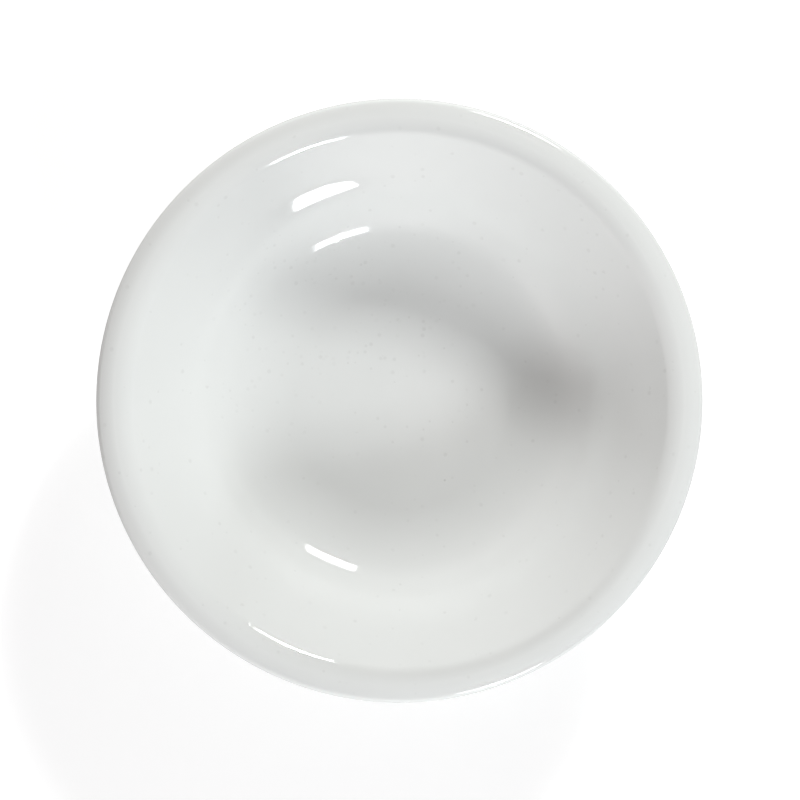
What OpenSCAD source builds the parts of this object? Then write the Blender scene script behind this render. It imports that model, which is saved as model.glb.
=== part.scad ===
// Shallow porcelain evaporating dish: a one-piece biscuit body under an inside and an outside glaze coat.
// Everything is a body of revolution about Z, in millimetres, standing on z = 0.

/* [Rim] */
// Outside diameter over the lip
rim_d = 80; // [74:1:88]
// How far the crown, the highest circle of the lip, lies inside that diameter
crown_in = 2.3; // [2.1:0.1:2.5]
// Radius of the lip's rolled top surface
lip_r = 3.7; // [3.4:0.1:3.9]

/* [Bowl] */
// Angle of the straight wall from the horizontal
wall_angle = 43; // [41:1:45]
// Radius of the nearly flat floor
floor_r = 14.6; // [14:0.1:15.5]
// Rise of the floor towards the heel, as an angle
floor_tilt = 3; // [2:0.5:4]
// Inside radius of the lower heel, next to the floor
heel_r = 19; // [17:0.5:20]
// Slope at which the heel tightens
heel_turn = 27; // [24:1:30]
// Inside radius of the upper heel, next to the wall
tight_r = 11; // [10:0.5:13]

/* [Thickness] */
// Wall thickness, glaze included
wall_t = 2.1; // [1.8:0.1:2.4]
// Height of the floor's centre above the table
floor_z = 2.8; // [2.6:0.1:3.2]
// Thickness of each glaze coat
glaze_t = 0.25; // [0.15:0.05:0.3]

/* [Base] */
// Radius of the flat base
foot_r = 16.1; // [15:0.1:16.5]
// Radius that rounds the edge of the base
corner_r = 1.2; // [0.8:0.1:1.5]
// Outer radius of the shallow recess under the base
recess_r = 13; // [10:0.5:14]
// Depth of that recess
recess_h = 0.5; // [0.3:0.1:0.6]
// Radius inside which the underside is bare of glaze
bare_r = 19; // [18:0.5:20.5]

/* [Hidden] */
arc_step = 3; // degrees of arc between two points of an outline
recess_slope = 20; // angle of the recess's edge from the horizontal
$fn = 180;

// Unit vector across a surface that climbs at angle a: it points down and outward.
function across(a) = [sin(a), -cos(a)];

crown_r = rim_d / 2 - crown_in;
edge_r = wall_t / 2; // the lip ends in a half round

// Centres of the inside arcs, each tangent to the next.
floor_ball_r = floor_r / sin(floor_tilt);
floor_c = [0, floor_z + floor_ball_r];
heel_c = floor_c + (floor_ball_r - heel_r) * across(floor_tilt);
tight_c = heel_c + (heel_r - tight_r) * across(heel_turn);
heel_end = tight_c + tight_r * across(wall_angle);
lip_start_r = crown_r - lip_r * sin(wall_angle);
wall_rise = (lip_start_r - heel_end[0]) * tan(wall_angle);
lip_c = [crown_r, heel_end[1] + wall_rise - lip_r * cos(wall_angle)];

// The lip droops beyond its crown until its half round reaches the outside diameter.
lip_mid_r = lip_r - edge_r;
lip_droop = asin((crown_in - edge_r) / lip_mid_r);
edge_c = lip_c + lip_mid_r * [sin(lip_droop), cos(lip_droop)];

// The outside heel runs tangent from the wall to the round that leads it into the flat base.
under_start = heel_end + (wall_t - glaze_t) * across(wall_angle);
corner_c = [foot_r, corner_r];
corner_gap = under_start - corner_c;
under_r = (corner_gap * corner_gap - pow(corner_r, 2)) / (2 * (corner_gap * across(wall_angle) - corner_r));
under_c = under_start - under_r * across(wall_angle);
corner_slope = atan2(corner_c[0] - under_c[0], under_c[1] - corner_c[1]);
glaze_stop = asin((bare_r - under_c[0]) / under_r);

function arc(c, r, from, to) =
    let (n = max(2, ceil(abs(to - from) / arc_step)))
    [for (i = [0:n]) let (a = from + (to - from) * i / n) c + r * [cos(a), sin(a)]];

function reversed(path) = [for (i = [len(path) - 1:-1:0]) path[i]];

// Each path lies d below the finished surface, and runs from the floor's centre over the lip to the base.
function inside_path(d) = concat(
    arc(floor_c, floor_ball_r + d, -90, floor_tilt - 90),
    arc(heel_c, heel_r + d, floor_tilt - 90, heel_turn - 90),
    arc(tight_c, tight_r + d, heel_turn - 90, wall_angle - 90),
    arc(lip_c, lip_r - d, 90 + wall_angle, 90 - lip_droop));
function edge_top(d) = arc(edge_c, edge_r - d, 90 - lip_droop, 0);
function edge_bottom(d) = arc(edge_c, edge_r - d, 0, -90 - lip_droop);
function outside_path(d) = concat(
    arc(lip_c, lip_r - wall_t + d, 90 - lip_droop, 90 + wall_angle),
    arc(under_c, under_r + glaze_t - d, wall_angle - 90, glaze_stop - 90));

function base_path() = concat(
    arc(under_c, under_r, glaze_stop - 90, corner_slope - 90),
    arc(corner_c, corner_r, corner_slope - 90, -90),
    [[recess_r, 0], [recess_r - recess_h / tan(recess_slope), recess_h], [0, recess_h]]);

// A coat of glaze between a path on the finished surface and the same path on the body.
module coat(finished, under) {
    rotate_extrude() polygon(concat(finished, reversed(under)));
}

module porcelain_body() {
    color([0.92, 0.91, 0.88])
        rotate_extrude()
            polygon(concat(
                inside_path(glaze_t), edge_top(glaze_t), edge_bottom(glaze_t),
                outside_path(glaze_t), base_path()));
}

module inside_glaze() {
    color([0.96, 0.97, 0.97])
        coat(concat(inside_path(0), edge_top(0)),
             concat(inside_path(glaze_t), edge_top(glaze_t)));
}

module outside_glaze() {
    color([0.96, 0.97, 0.97])
        coat(concat(edge_bottom(0), outside_path(0)),
             concat(edge_bottom(glaze_t), outside_path(glaze_t)));
}

porcelain_body();
inside_glaze();
outside_glaze();
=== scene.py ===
import math

import bmesh
import bpy
import numpy as np
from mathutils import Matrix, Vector


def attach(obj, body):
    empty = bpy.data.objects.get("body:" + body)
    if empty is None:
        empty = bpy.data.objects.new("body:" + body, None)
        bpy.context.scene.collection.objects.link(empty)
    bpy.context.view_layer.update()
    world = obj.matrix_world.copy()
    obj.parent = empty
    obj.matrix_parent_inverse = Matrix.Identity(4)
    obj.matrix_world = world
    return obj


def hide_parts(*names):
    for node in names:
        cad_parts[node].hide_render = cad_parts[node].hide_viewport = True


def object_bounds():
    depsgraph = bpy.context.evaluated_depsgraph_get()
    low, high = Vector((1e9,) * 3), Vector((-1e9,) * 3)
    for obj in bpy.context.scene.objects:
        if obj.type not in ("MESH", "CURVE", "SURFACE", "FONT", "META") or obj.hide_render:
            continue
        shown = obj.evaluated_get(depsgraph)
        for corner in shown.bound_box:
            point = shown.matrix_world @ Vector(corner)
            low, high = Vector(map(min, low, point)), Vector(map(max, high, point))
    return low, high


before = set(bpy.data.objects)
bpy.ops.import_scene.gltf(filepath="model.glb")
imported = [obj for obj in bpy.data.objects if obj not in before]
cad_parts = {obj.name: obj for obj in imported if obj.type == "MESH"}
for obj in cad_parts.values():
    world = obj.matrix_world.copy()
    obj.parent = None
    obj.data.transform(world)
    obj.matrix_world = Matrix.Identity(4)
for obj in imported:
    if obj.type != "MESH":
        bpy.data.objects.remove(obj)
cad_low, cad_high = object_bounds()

MM = 0.001

# The dish, in metres: its box comes from the frame, and the rest repeats the CAD part's dimensions.
RIM_R = (cad_high.x - cad_low.x) / 2
HEIGHT = cad_high.z
CROWN_IN = 2.3 * MM
LIP_R = 3.7 * MM
WALL_ANGLE = math.radians(43)
FLOOR_R = 14.6 * MM
FLOOR_TILT = math.radians(3)
HEEL_R = 19 * MM
HEEL_TURN = math.radians(27)
TIGHT_R = 11 * MM
EASE_TURN = math.radians(38.5)  # from here on the heel turns more gently than in the CAD part
EASE_R = 40 * MM
WALL_T = 2.1 * MM
FLOOR_Z = 2.8 * MM
GLAZE_T = 0.25 * MM
FOOT_R = 16.1 * MM
CORNER_R = 1.2 * MM
RECESS_R = 13 * MM
RECESS_H = 0.5 * MM
RECESS_SLOPE = math.radians(20)
BARE_R = 19 * MM

# How finely the outlines and the turn are divided
ARC_STEP = math.radians(1.5)
LINE_STEP = 0.3 * MM
FLOOR_STEP = 0.9 * MM
FINE_STEP = 0.08 * MM
TURNS = 384
UNDER_EVERY = 6  # the hidden side of a coat keeps one station in six

# What the potter's hand and the kiln leave on the true shape
OVAL = 0.0023  # share of the radius by which the rim is longer along X
WARP_SEED = 11
WARP_WAVES = 14
WARP_HEIGHT = 0.012 * MM
RUN_AZIMUTH = math.radians(113)  # the place of a run in the glaze, which makes the wall flatter there
RUN_RADIUS = 0.738 * RIM_R
RUN_SPREAD = math.radians(13.5)
RUN_WIDTH = 2.2 * MM
RUN_SLOPE = math.radians(8.8)
RIM_LEVEL = 0.05 * MM  # how far the rim rises and falls round its turn
LINE_WANDER = 0.45 * MM  # how far the outside glaze's edge strays from a true circle
EDGE_REACH = 2 * MM  # how far from its edge the glaze moves with it
GLAZE_DRIPS = ((0.9, 0.05), (2.6, 0.035), (4.1, 0.06), (5.5, 0.03))  # azimuth and width, in radians
MENISCUS = 0.8 * MM  # width over which the outside glaze rounds down to that edge


# ---- outlines ----

def across(angle):
    """Unit vector across a surface that climbs at an angle: it points down and outward."""
    return np.array([math.sin(angle), -math.cos(angle)])


class Outline:
    """Stations along a surface: radius and height, and the unit normal that points out of the dish."""

    def __init__(self, points, normals):
        self.points = np.array(points)
        self.normals = np.array(normals)

    def __add__(self, other):
        """This outline and then another that starts where it ends."""
        return Outline(
            np.vstack([self.points, other.points[1:]]), np.vstack([self.normals, other.normals[1:]])
        )

    def sink(self, depth):
        """The outline moved into the dish, by one depth or by one for each station."""
        return Outline(self.points - np.reshape(depth, (-1, 1)) * self.normals, self.normals)

    def to_end(self):
        """Distance along the outline from each station to its last one."""
        steps = np.linalg.norm(np.diff(self.points, axis=0), axis=1)
        return np.append(np.cumsum(steps[::-1])[::-1], 0.0)

    def thin_out(self, step):
        kept = sorted(set(range(0, len(self.points), step)) | {len(self.points) - 1})
        return Outline(self.points[kept], self.normals[kept])


def arc(centre, radius, start, end, hollow, step=LINE_STEP):
    """An arc between two angles in degrees. A hollow one is seen from its centre's side."""
    turn = abs(math.radians(end - start))
    count = max(2, math.ceil(turn / ARC_STEP), math.ceil(turn * radius / step))
    angles = np.radians(np.linspace(start, end, count + 1))
    spokes = np.column_stack([np.cos(angles), np.sin(angles)])
    return Outline(np.array(centre) + radius * spokes, -spokes if hollow else spokes)


def line(start, end, normal):
    count = max(2, math.ceil(np.linalg.norm(np.array(end) - start) / LINE_STEP))
    points = np.linspace(start, end, count + 1)
    return Outline(points, np.tile(normal, (count + 1, 1)))


wall_deg = math.degrees(WALL_ANGLE)
tilt_deg = math.degrees(FLOOR_TILT)
turn_deg = math.degrees(HEEL_TURN)
ease_deg = math.degrees(EASE_TURN)
crown_r = RIM_R - CROWN_IN
edge_r = WALL_T / 2

floor_ball_r = FLOOR_R / math.sin(FLOOR_TILT)
floor_c = np.array([0, FLOOR_Z + floor_ball_r])
heel_c = floor_c + (floor_ball_r - HEEL_R) * across(FLOOR_TILT)
tight_c = heel_c + (HEEL_R - TIGHT_R) * across(HEEL_TURN)
heel_end = tight_c + TIGHT_R * across(WALL_ANGLE)
lip_c = np.array([crown_r, HEIGHT - LIP_R])
lip_start = lip_c - LIP_R * across(WALL_ANGLE)

# The inside wall is tangent to the heel's last arc and to the lip.
ease_c = tight_c - (EASE_R - TIGHT_R) * across(EASE_TURN)
apart = lip_c - ease_c
steep = math.atan2(apart[1], apart[0]) + math.pi / 2 - math.acos((LIP_R + EASE_R) / math.hypot(*apart))
steep_deg = math.degrees(steep)
wall_low = ease_c + EASE_R * across(steep)
wall_high = lip_c - LIP_R * across(steep)

lip_droop = math.asin((CROWN_IN - edge_r) / (LIP_R - edge_r))
droop_deg = math.degrees(lip_droop)
edge_c = lip_c + (LIP_R - edge_r) * np.array([math.sin(lip_droop), math.cos(lip_droop)])

under_start = heel_end + WALL_T * across(WALL_ANGLE)
body_start = heel_end + (WALL_T - GLAZE_T) * across(WALL_ANGLE)
corner_c = np.array([FOOT_R, CORNER_R])
corner_gap = body_start - corner_c
under_r = (corner_gap @ corner_gap - CORNER_R**2) / (2 * (corner_gap @ across(WALL_ANGLE) - CORNER_R))
under_c = body_start - under_r * across(WALL_ANGLE)
corner_deg = math.degrees(math.atan2(corner_c[0] - under_c[0], under_c[1] - corner_c[1]))
glaze_stop_deg = math.degrees(math.asin((BARE_R - under_c[0]) / under_r))
meniscus_deg = glaze_stop_deg + math.degrees(MENISCUS / under_r)

inside = (
    arc(floor_c, floor_ball_r, -90, tilt_deg - 90, hollow=True, step=FLOOR_STEP)
    + arc(heel_c, HEEL_R, tilt_deg - 90, turn_deg - 90, hollow=True)
    + arc(tight_c, TIGHT_R, turn_deg - 90, ease_deg - 90, hollow=True)
    + arc(ease_c, EASE_R, ease_deg - 90, steep_deg - 90, hollow=True)
    + line(wall_low, wall_high, -across(steep))
    + arc(lip_c, LIP_R, 90 + steep_deg, 90 - droop_deg, hollow=False)
)
edge_top = arc(edge_c, edge_r, 90 - droop_deg, 0, hollow=False)
edge_bottom = arc(edge_c, edge_r, 0, -90 - droop_deg, hollow=False)
outside = (
    arc(lip_c, LIP_R - WALL_T, 90 - droop_deg, 90 + wall_deg, hollow=True)
    + line(lip_start + WALL_T * across(WALL_ANGLE), under_start, across(WALL_ANGLE))
    + arc(under_c, under_r + GLAZE_T, wall_deg - 90, meniscus_deg - 90, hollow=False)
    + arc(
        under_c, under_r + GLAZE_T, meniscus_deg - 90, glaze_stop_deg - 90, hollow=False, step=FINE_STEP
    )
)
heel_bare = arc(under_c, under_r, glaze_stop_deg - 90, corner_deg - 90, hollow=False)
corner = arc(corner_c, CORNER_R, corner_deg - 90, -90, hollow=False)
recess_in_r = RECESS_R - RECESS_H / math.tan(RECESS_SLOPE)
down = np.array([0.0, -1.0])
standing = line([FOOT_R, 0], [RECESS_R, 0], down)
recess_out = -np.array([math.sin(RECESS_SLOPE), math.cos(RECESS_SLOPE)])
recess_edge = line([RECESS_R, 0], [recess_in_r, RECESS_H], recess_out)
recess = line([recess_in_r, RECESS_H], [0, RECESS_H], down)


# ---- small departures from the true shape ----

def gauss(x):
    return np.exp(-x * x / 2)


def turn_from(azimuth, target):
    """Angle between two azimuths, from -pi to pi."""
    return (azimuth - target + math.pi) % (2 * math.pi) - math.pi


warp_random = np.random.default_rng(WARP_SEED)
warp_turns = warp_random.integers(1, 7, WARP_WAVES)
warp_runs = warp_random.uniform(0.02, 0.12, WARP_WAVES) / MM
warp_phases = warp_random.uniform(0, 2 * math.pi, WARP_WAVES)


def waviness(radius, azimuth):
    """Height of the fired surface over the true one: long faint waves, and the glaze run on the wall."""
    waves = sum(
        np.cos(turns * azimuth + run * 2 * math.pi * radius + phase)
        for turns, run, phase in zip(warp_turns, warp_runs, warp_phases)
    )
    fade = np.clip(radius / FLOOR_R, 0, 1) ** 2 * np.clip((RIM_R - radius) / CROWN_IN, 0, 1)
    u = (radius - RUN_RADIUS) / (RUN_WIDTH * math.cos(WALL_ANGLE))
    swell = u / (1 + u * u) * gauss(u / 3) * gauss(turn_from(azimuth, RUN_AZIMUTH) / RUN_SPREAD)
    run = -math.tan(RUN_SLOPE) * RUN_WIDTH * swell
    return WARP_HEIGHT * fade * waves / math.sqrt(WARP_WAVES) + run


def out_of_round(points):
    """The rim is a little longer along X than along Y, and not quite level; the foot stays true."""
    x, y, z = points[..., 0], points[..., 1], points[..., 2]
    share = np.clip(z / HEIGHT, 0, 1) ** 2
    azimuth = np.arctan2(y, x)
    level = np.cos(2 * azimuth - 0.8) + 0.6 * np.cos(3 * azimuth + 1.9) - 1.2
    stretch = OVAL * share
    return np.stack([x * (1 + stretch), y * (1 - stretch), z + RIM_LEVEL * share * level], axis=-1)


def wander(azimuth):
    """How far the outside glaze's edge lies from its circle, -1 to 1: slow swings and small drips."""
    swings = 0.45 * np.cos(2 * azimuth + 0.7) + 0.25 * np.cos(5 * azimuth - 1.1)
    swings = swings + 0.12 * np.cos(11 * azimuth)
    drips = sum(gauss(turn_from(azimuth, at) / width) for at, width in GLAZE_DRIPS)
    return swings - 0.8 * drips


def follow_edge(outline, azimuth):
    """Radii and heights of the stations, slid round the outside heel to the glaze's wandering edge."""
    slide = gauss(outline.to_end() / EDGE_REACH) * wander(azimuth) * LINE_WANDER / under_r
    r = outline.points[:, 0] - under_c[0]
    z = outline.points[:, 1] - under_c[1]
    return (
        under_c[0] + r * np.cos(slide) - z * np.sin(slide),
        under_c[1] + r * np.sin(slide) + z * np.cos(slide),
    )


def turned(outline, wavy=False, edged=False):
    """The outline at every azimuth, as an array of azimuths by stations by three."""
    azimuth = np.linspace(0, 2 * math.pi, TURNS, endpoint=False)[:, None]
    r = outline.points[None, :, 0] + 0 * azimuth
    z = outline.points[None, :, 1] + 0 * azimuth
    if wavy:
        lift = waviness(r, azimuth)
        r, z = r + lift * outline.normals[:, 0], z + lift * outline.normals[:, 1]
    if edged:
        r, z = follow_edge(outline, azimuth)
    return out_of_round(np.stack([r * np.cos(azimuth), r * np.sin(azimuth), z], axis=-1))


# ---- meshes ----

def revolve(name, rings, on_axis):
    """A closed mesh from azimuths by stations by three. on_axis says that its ends lie on the axis."""
    turns, stations, _ = rings.shape
    if on_axis:
        start, end = rings[0, 0], rings[0, -1]
        rings = rings[:, 1:-1]
        stations -= 2
    vertices = [tuple(p) for p in rings.reshape(-1, 3)]
    faces = []
    spans = stations - 1 if on_axis else stations
    for j in range(turns):
        here, there = j * stations, (j + 1) % turns * stations
        for i in range(spans):
            k = (i + 1) % stations
            faces.append((here + i, there + i, there + k, here + k))
    if on_axis:
        first, last = len(vertices), len(vertices) + 1
        vertices += [tuple(start), tuple(end)]
        for j in range(turns):
            here, there = j * stations, (j + 1) % turns * stations
            faces.append((first, there, here))
            faces.append((last, here + stations - 1, there + stations - 1))
    mesh = bpy.data.meshes.new(name)
    mesh.from_pydata(vertices, [], faces)
    work = bmesh.new()
    work.from_mesh(mesh)
    bmesh.ops.recalc_face_normals(work, faces=work.faces)
    work.to_mesh(mesh)
    work.free()
    mesh.shade_smooth()
    mesh.set_sharp_from_angle(angle=math.radians(35))
    piece = bpy.data.objects.new(name, mesh)
    bpy.context.scene.collection.objects.link(piece)
    return piece


def add_piece(name, rings, on_axis, node, material):
    piece = revolve(name, rings, on_axis)
    piece.data.materials.append(material)
    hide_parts(node)
    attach(piece, "root")
    return piece


# ---- materials ----

GLAZE_COLOURS = ((0.803, 0.818, 0.804), (0.815, 0.830, 0.816))
SPECK_COLOUR = (0.30, 0.29, 0.27)
BISCUIT_COLOURS = ((0.66, 0.645, 0.60), (0.71, 0.70, 0.665))
SCUFF_COLOUR = (0.42, 0.41, 0.39)
IRON_COLOUR = (0.30, 0.25, 0.19)
CROWD_AT = (-9 * MM, 10 * MM, 4 * MM)  # where the glaze has most specks
CROWD_REACH = 24 * MM


def new_material(name):
    material = bpy.data.materials.new(name)
    material.use_nodes = True
    tree = material.node_tree
    shader = tree.nodes["Principled BSDF"]
    return material, tree, shader


def add_node(tree, kind, inputs=None, **settings):
    made = tree.nodes.new(kind)
    for key, value in settings.items():
        setattr(made, key, value)
    for key, value in (inputs or {}).items():
        if isinstance(value, bpy.types.NodeSocket):
            tree.links.new(value, made.inputs[key])
        else:
            made.inputs[key].default_value = value
    return made


def noise(tree, where, scale, detail=2.0, roughness=0.5):
    """Noise with its scale in waves per metre."""
    made = add_node(
        tree, "ShaderNodeTexNoise",
        {"Vector": where, "Scale": scale, "Detail": detail, "Roughness": roughness},
    )
    return made.outputs["Fac"]


def ramp(tree, value, low, high, to_low=0.0, to_high=1.0):
    made = add_node(
        tree, "ShaderNodeMapRange",
        {"Value": value, "From Min": low, "From Max": high, "To Min": to_low, "To Max": to_high},
        interpolation_type="SMOOTHSTEP",
    )
    return made.outputs["Result"]


def maths(tree, operation, *values):
    return add_node(tree, "ShaderNodeMath", dict(enumerate(values)), operation=operation).outputs[0]


def length(tree, vector):
    made = add_node(tree, "ShaderNodeVectorMath", {0: vector}, operation="LENGTH")
    return made.outputs["Value"]


def mix(tree, factor, a, b):
    """Colour a where factor is 0 and b where it is 1."""
    made = add_node(tree, "ShaderNodeMix", data_type="RGBA")
    for socket, value in ((made.inputs[0], factor), (made.inputs[6], a), (made.inputs[7], b)):
        if isinstance(value, bpy.types.NodeSocket):
            tree.links.new(value, socket)
        elif isinstance(value, tuple):
            socket.default_value = (*value, 1.0)
        else:
            socket.default_value = value
    return made.outputs[2]


def specks(tree, where, cells, share, smallest, largest):
    """Scattered dots, up to 1 in a dot and 0 around. Radii are in cells, and a share of cells has one."""
    cell = add_node(tree, "ShaderNodeTexVoronoi", {"Vector": where, "Scale": cells}, feature="F1")
    pick = add_node(tree, "ShaderNodeSeparateColor", {"Color": cell.outputs["Color"]})
    radius = ramp(tree, pick.outputs["Green"], 0.0, 1.0, smallest, largest)
    dot = ramp(tree, maths(tree, "DIVIDE", cell.outputs["Distance"], radius), 0.35, 1.0, 1.0, 0.0)
    present = maths(tree, "LESS_THAN", pick.outputs["Red"], share)
    depth = ramp(tree, pick.outputs["Blue"], 0.0, 1.0, 0.35, 1.0)
    return maths(tree, "MULTIPLY", maths(tree, "MULTIPLY", dot, present), depth)


def glaze_material():
    """White feldspar glaze: glossy, faintly green, with fine grey specks and a faintly uneven surface."""
    material, tree, shader = new_material("white_glaze")
    where = add_node(tree, "ShaderNodeTexCoord").outputs["Object"]
    cloud = noise(tree, where, 60, detail=3)
    colour = mix(tree, ramp(tree, cloud, 0.35, 0.65), *GLAZE_COLOURS)
    away = add_node(tree, "ShaderNodeVectorMath", {0: where, 1: CROWD_AT}, operation="DISTANCE")
    near = ramp(tree, away.outputs["Value"], 0.2 * CROWD_REACH, CROWD_REACH, 1.0, 0.22)
    clump = ramp(tree, noise(tree, where, 130, detail=3), 0.42, 0.60, 0.2, 1.0)
    fine = specks(tree, where, 1000, maths(tree, "MULTIPLY", near, clump), 0.20, 0.42)
    coarse = specks(tree, where, 330, 0.12, 0.05, 0.10)
    dots = maths(tree, "MAXIMUM", maths(tree, "MULTIPLY", fine, 0.5), coarse)
    colour = mix(tree, maths(tree, "MULTIPLY", dots, 0.22), colour, SPECK_COLOUR)
    tree.links.new(colour, shader.inputs["Base Color"])
    polish = ramp(tree, noise(tree, where, 160), 0.3, 0.7, 0.055, 0.085)
    tree.links.new(polish, shader.inputs["Roughness"])
    shader.inputs["IOR"].default_value = 1.52
    peel = add_node(
        tree, "ShaderNodeBump",
        {"Height": noise(tree, where, 320, detail=1), "Strength": 0.25, "Distance": 0.00004},
    )
    pits = add_node(
        tree, "ShaderNodeBump",
        {"Height": dots, "Strength": 0.4, "Distance": 0.00004, "Normal": peel.outputs["Normal"]},
        invert=True,
    )
    tree.links.new(pits.outputs["Normal"], shader.inputs["Normal"])
    return material


def biscuit_material():
    """Bare fired porcelain: matt and warmer, with grain, turning rings and a scuffed standing ring."""
    material, tree, shader = new_material("bare_porcelain")
    where = add_node(tree, "ShaderNodeTexCoord").outputs["Object"]
    apart = add_node(tree, "ShaderNodeSeparateXYZ", {"Vector": where})
    flat = add_node(tree, "ShaderNodeCombineXYZ", {"X": apart.outputs["X"], "Y": apart.outputs["Y"]})
    radius = length(tree, flat.outputs[0])
    cloud = ramp(tree, noise(tree, where, 110, detail=4), 0.3, 0.7)
    colour = mix(tree, cloud, *BISCUIT_COLOURS)
    scuff = maths(
        tree, "MULTIPLY",
        ramp(tree, noise(tree, where, 260, detail=4), 0.48, 0.62),
        ramp(tree, apart.outputs["Z"], 0.0, 0.35 * MM, 1.0, 0.0),
    )
    colour = mix(tree, maths(tree, "MULTIPLY", scuff, 0.4), colour, SCUFF_COLOUR)
    iron = specks(tree, where, 700, 0.10, 0.08, 0.20)
    colour = mix(tree, maths(tree, "MULTIPLY", iron, 0.45), colour, IRON_COLOUR)
    tree.links.new(colour, shader.inputs["Base Color"])
    chalk = ramp(tree, noise(tree, where, 900), 0.2, 0.8, 0.62, 0.8)
    tree.links.new(chalk, shader.inputs["Roughness"])
    shader.inputs["IOR"].default_value = 1.45
    wheel = add_node(
        tree, "ShaderNodeTexNoise", {"W": radius, "Scale": 2600, "Detail": 2.0}, noise_dimensions="1D"
    ).outputs["Fac"]
    rings = add_node(tree, "ShaderNodeBump", {"Height": wheel, "Strength": 0.35, "Distance": 0.00004})
    grain = add_node(
        tree, "ShaderNodeBump",
        {
            "Height": noise(tree, where, 5200, detail=2, roughness=0.7),
            "Strength": 0.5, "Distance": 0.00004, "Normal": rings.outputs["Normal"],
        },
    )
    tree.links.new(grain.outputs["Normal"], shader.inputs["Normal"])
    return material


# ---- the pieces ----

def glaze_inside(material):
    finished = inside + edge_top
    top = turned(finished, wavy=True)
    below = turned(finished.sink(GLAZE_T).thin_out(UNDER_EVERY), wavy=True)[:, ::-1]
    rings = np.concatenate([top, below], axis=1)
    return add_piece("glaze_inside", rings, True, "inside_glaze", material)


def glaze_outside(material):
    finished = edge_bottom + outside
    near_edge = np.clip(1 - finished.to_end() / MENISCUS, 0, 0.97)
    rounded = finished.sink(GLAZE_T * (1 - np.sqrt(1 - near_edge**2)))
    top = turned(rounded, edged=True)
    below = turned(finished.sink(GLAZE_T).thin_out(UNDER_EVERY), edged=True)[:, ::-1]
    rings = np.concatenate([top, below], axis=1)
    return add_piece("glaze_outside", rings, False, "outside_glaze", material)


def body(material):
    upper = turned((inside + edge_top).sink(GLAZE_T).thin_out(UNDER_EVERY), wavy=True)
    lower = turned((edge_bottom + outside).sink(GLAZE_T).thin_out(UNDER_EVERY))
    base = turned(heel_bare + corner + standing + recess_edge + recess)
    rings = np.concatenate([upper, lower[:, 1:], base[:, 1:]], axis=1)
    return add_piece("biscuit_body", rings, True, "porcelain_body", material)


# ---- studio ----

STUDIO_R = 4.0
FLOOR_WHITE = 0.7
FLOOR_GLOW = (0.5, 0.74)  # near the dish, and far from it, where the lamps don't reach
DOME_GLOW = (0.96, 0.96)
GLOW_REACH = (0.15, 1.1)  # the distances that near and far stand for

WARM = (1.0, 0.96, 0.955)
GREENISH = (0.985, 1.0, 0.99)
COOL = (0.95, 0.98, 1.0)

# Each lamp's name, azimuth, zenith, distance, width, height, watts and colour
LAMPS = (
    ("strip_back", 66.8, 64.5, 0.8, 0.222, 0.13, 2.14, GREENISH),
    ("strip_back_lamp", 66.8, 63, 0.79, 0.09, 0.09, 2.7, GREENISH),
    ("strip_front", 289.7, 67.5, 0.8, 0.222, 0.13, 2.27, COOL),
    ("strip_front_lamp", 289.7, 67, 0.79, 0.09, 0.07, 1.8, COOL),
)

SURROUND = 0.208  # strength of the even light from all round
# Each glow's azimuth, zenith, strength and power: the walls' are broad, and the ceiling's is small
GLOWS = (
    (120, 66, 0.35, 14),
    (150, 66, 0.59, 14),
    (210, 66, 1.45, 14),
    (270, 80, 1.04, 14),
    (175, 1.9, 1.25, 1200),
)

LENS = 200
DISH_SHARE = 0.7565  # of the picture's width
CAMERA_SHIFT = (0.0022 * RIM_R, 0.0024 * RIM_R)


def stage_material(name, white, glow):
    """A matt studio surface with a glow, near and far, that shows in the picture but lights nothing."""
    material, tree, shader = new_material(name)
    shader.inputs["Base Color"].default_value = (white, white, white, 1)
    shader.inputs["Roughness"].default_value = 0.9
    shader.inputs["Specular IOR Level"].default_value = 0.0
    shader.inputs["Emission Color"].default_value = (1, 1, 1, 1)
    seen = add_node(tree, "ShaderNodeLightPath").outputs["Is Camera Ray"]
    where = add_node(tree, "ShaderNodeTexCoord").outputs["Object"]
    strength = ramp(tree, length(tree, where), *GLOW_REACH, *glow)
    tree.links.new(maths(tree, "MULTIPLY", seen, strength), shader.inputs["Emission Strength"])
    return material


def studio():
    """A round floor, and a dome that only the camera sees, so that it takes nothing from the light."""
    bpy.ops.mesh.primitive_circle_add(vertices=128, radius=STUDIO_R, fill_type="NGON")
    floor = bpy.context.object
    floor.name = "studio_floor"
    floor.data.materials.append(stage_material("studio_floor", FLOOR_WHITE, FLOOR_GLOW))
    bpy.ops.mesh.primitive_uv_sphere_add(segments=96, ring_count=48, radius=STUDIO_R)
    dome = bpy.context.object
    dome.name = "studio_dome"
    dome.data.materials.append(stage_material("studio_dome", 0.0, DOME_GLOW))
    dome.visible_diffuse = False
    dome.visible_glossy = False
    dome.visible_transmission = False
    dome.visible_shadow = False


def towards(azimuth, zenith):
    """Unit vector at an azimuth from +X towards +Y and a zenith angle from +Z, in degrees."""
    a, z = math.radians(azimuth), math.radians(zenith)
    return Vector((math.sin(z) * math.cos(a), math.sin(z) * math.sin(a), math.cos(z)))


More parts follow.
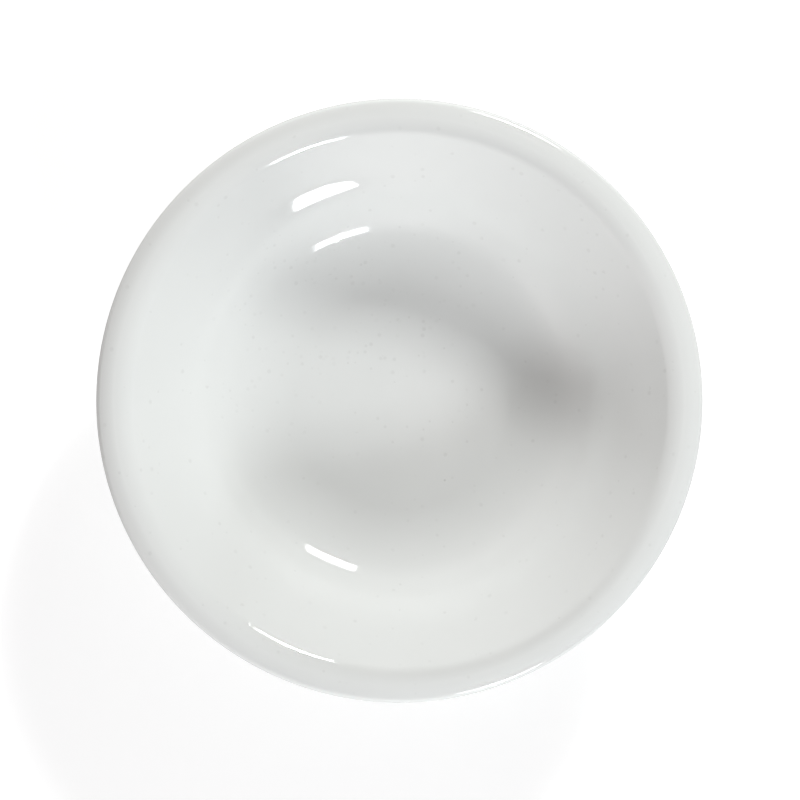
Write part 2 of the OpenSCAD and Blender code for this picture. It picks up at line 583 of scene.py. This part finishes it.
def softbox(name, azimuth, zenith, distance, width, height, watts, colour):
    """A rectangular light aimed at the dish. Angles are in degrees, distance and sizes in metres."""
    light = bpy.data.lights.new(name, "AREA")
    light.shape = "RECTANGLE"
    light.size = width
    light.size_y = height
    light.energy = watts
    light.color = colour
    lamp = bpy.data.objects.new(name, light)
    aim = towards(azimuth, zenith)
    lamp.location = aim * distance + Vector((0, 0, HEIGHT / 2))
    lamp.rotation_euler = aim.to_track_quat("Z", "Y").to_euler()
    lamp.visible_camera = False
    bpy.context.scene.collection.objects.link(lamp)


def soft_surround(strength, glows):
    """Even light from all round, and glows round single directions: the higher the power, the smaller."""
    world = bpy.data.worlds.new("studio_surround")
    world.use_nodes = True
    tree = world.node_tree
    background = tree.nodes["Background"]
    background.inputs["Color"].default_value = (*WARM, 1)
    direction = add_node(tree, "ShaderNodeTexCoord").outputs["Generated"]
    for azimuth, zenith, peak, power in glows:
        centre = {0: direction, 1: towards(azimuth, zenith)}
        facing = add_node(tree, "ShaderNodeVectorMath", centre, operation="DOT_PRODUCT")
        falloff = maths(tree, "POWER", maths(tree, "MAXIMUM", facing.outputs["Value"], 0.0), power)
        strength = maths(tree, "MULTIPLY_ADD", falloff, peak, strength)
    tree.links.new(strength, background.inputs["Strength"])
    bpy.context.scene.world = world


def overhead_camera():
    """Straight above the dish, with +X to the right and +Y up in the picture."""
    data = bpy.data.cameras.new("camera")
    data.lens = LENS
    data.sensor_width = 36
    camera = bpy.data.objects.new("camera", data)
    span = 2 * RIM_R / DISH_SHARE
    distance = span * data.lens / data.sensor_width
    camera.location = (*CAMERA_SHIFT, edge_c[1] + distance)
    data.clip_start = 0.01
    data.clip_end = 30
    bpy.context.scene.collection.objects.link(camera)
    bpy.context.scene.camera = camera


glaze = glaze_material()
glaze_inside(glaze)
glaze_outside(glaze)
body(biscuit_material())
studio()

soft_surround(SURROUND, GLOWS)
for lamp in LAMPS:
    softbox(*lamp)
overhead_camera()
bpy.context.scene.view_settings.view_transform = "Standard"

bpy.context.view_layer.update()
